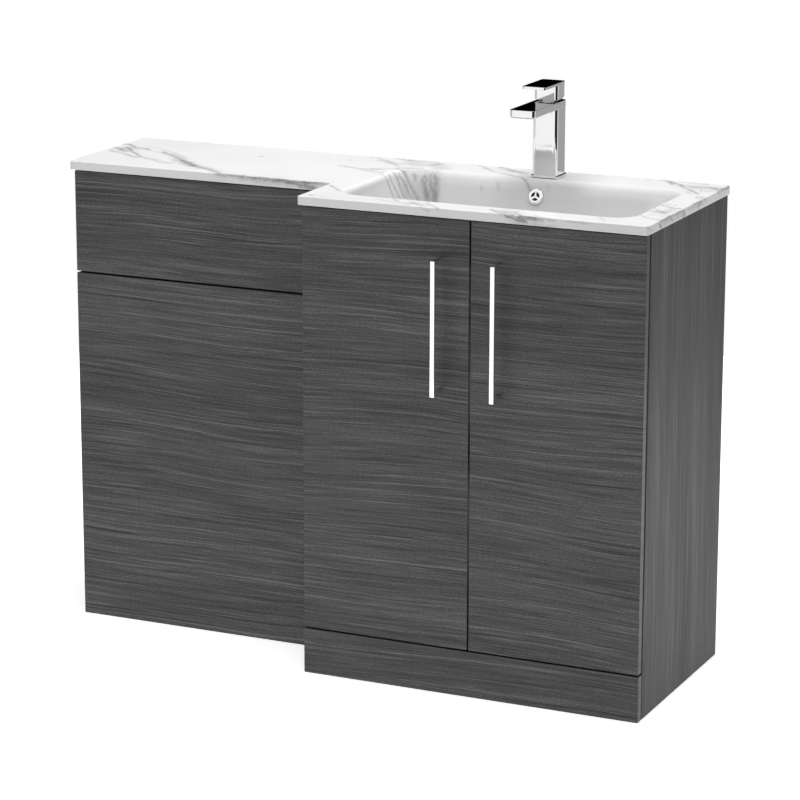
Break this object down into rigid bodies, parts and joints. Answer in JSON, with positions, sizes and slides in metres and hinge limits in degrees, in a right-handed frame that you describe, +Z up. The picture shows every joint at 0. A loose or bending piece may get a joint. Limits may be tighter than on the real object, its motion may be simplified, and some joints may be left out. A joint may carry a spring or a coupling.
{
  "type": "toilet and basin combination unit",
  "caption": "L-shaped toilet and basin unit: slim toilet housing with access panel beside a doored basin cabinet, under a marble-effect top with cast basin, overflow and lever mixer tap.",
  "frame": {"origin": "on the floor, at the middle of the whole unit's outer box seen from above", "axes": "+X to the right along the wall as seen from the room, +Y to the wall behind, +Z up"},
  "size_m": [1.107, 0.412, 0.979],
  "materials": {
    "front_laminate": "satin woodgrain laminate, grain across",
    "cabinet_laminate": "satin woodgrain laminate, grain upright",
    "marble_cast": "polished marble-effect casting",
    "chrome": "polished",
    "zinc_steel": "zinc plated",
    "brass": "machined",
    "white_plastic": "moulded",
    "blue_plastic": "moulded",
    "red_plastic": "moulded",
    "black_rubber": "matt",
    "clear_rubber": "matt"
  },
  "bodies": {
    "cabinet": {"wc_side_left": "cabinet_laminate", "wc_side_right": "cabinet_laminate", "wc_top_rail": "cabinet_laminate", "wc_middle_rail": "cabinet_laminate", "wc_wall_rail": "cabinet_laminate", "wc_lower_panel": "front_laminate", "cistern_tank": "white_plastic", "cistern_lid": "white_plastic", "angle_brackets": "zinc_steel", "fill_valve": "white_plastic", "flush_valve": "white_plastic", "flush_pipe": "white_plastic", "plastic_nuts": "white_plastic", "vanity_side_left": "cabinet_laminate", "vanity_side_right": "cabinet_laminate", "vanity_base": "cabinet_laminate", "vanity_front_rail": "cabinet_laminate", "vanity_wall_rail": "cabinet_laminate", "plinth": "front_laminate", "shelf": "cabinet_laminate", "shelf_pins": "zinc_steel", "hinge_arms": "zinc_steel", "hinge_plates": "zinc_steel", "hinge_pins": "zinc_steel", "door_buffers": "clear_rubber", "cam_locks": "zinc_steel", "cam_dowels": "zinc_steel", "unit_connectors": "zinc_steel", "wood_screws": "zinc_steel", "worktop_basin": "marble_cast", "overflow_trim": "chrome", "waste_body": "chrome", "waste_washer": "black_rubber", "backnuts": "brass", "trap_body": "white_plastic", "trap_cup": "white_plastic", "tap_body": "chrome", "tap_gasket": "black_rubber", "tap_cartridge": "white_plastic", "tap_collar": "chrome", "tap_aerator": "chrome", "tap_stud": "brass", "tap_clamp_plate": "zinc_steel"},
    "left_door": {"door_left": "front_laminate", "handle_left": "chrome", "handle_screws_left": "zinc_steel", "hinge_cups_left": "zinc_steel"},
    "right_door": {"door_right": "front_laminate", "handle_right": "chrome", "handle_screws_right": "zinc_steel", "hinge_cups_right": "zinc_steel"},
    "access_panel": {"wc_access_panel": "front_laminate", "panel_studs": "white_plastic"},
    "tap_turn": {"cartridge_spindle": "white_plastic"},
    "tap_handle": {"tap_lever": "chrome", "cartridge_stem": "brass", "lever_screw": "zinc_steel"},
    "plug": {"waste_plug": "chrome"},
    "float": {"fill_float": "blue_plastic"},
    "plunger": {"flush_plunger": "red_plastic"}
  },
  "joints": [
    {"name": "left_door_hinge", "type": "hinge", "parent": "cabinet", "child": "left_door", "pos_m": [-0.042, -0.1672, 0.4405], "axis": [0, 0, -1], "range_deg": [0, 95]},
    {"name": "right_door_hinge", "type": "hinge", "parent": "cabinet", "child": "right_door", "pos_m": [0.542, -0.1672, 0.4405], "axis": [0, 0, 1], "range_deg": [0, 95]},
    {"name": "access_panel_pull", "type": "slide", "parent": "cabinet", "child": "access_panel", "axis": [0, -1, 0], "range_m": [0, 0.06]},
    {"name": "tap_temperature", "type": "hinge", "parent": "cabinet", "child": "tap_turn", "pos_m": [0.25, 0.155, 0.936], "axis": [0, 0, 1], "range_deg": [-45, 45]},
    {"name": "tap_flow", "type": "hinge", "parent": "tap_turn", "child": "tap_handle", "pos_m": [0.25, 0.155, 0.936], "axis": [-1, 0, 0], "range_deg": [0, 20]},
    {"name": "plug_lift", "type": "slide", "parent": "cabinet", "child": "plug", "axis": [0, 0, 1], "range_m": [0, 0.008]},
    {"name": "float_rise", "type": "slide", "parent": "cabinet", "child": "float", "axis": [0, 0, 1], "range_m": [0, 0.17]},
    {"name": "flush_lift", "type": "slide", "parent": "cabinet", "child": "plunger", "axis": [0, 0, 1], "range_m": [0, 0.03]}
  ]
}
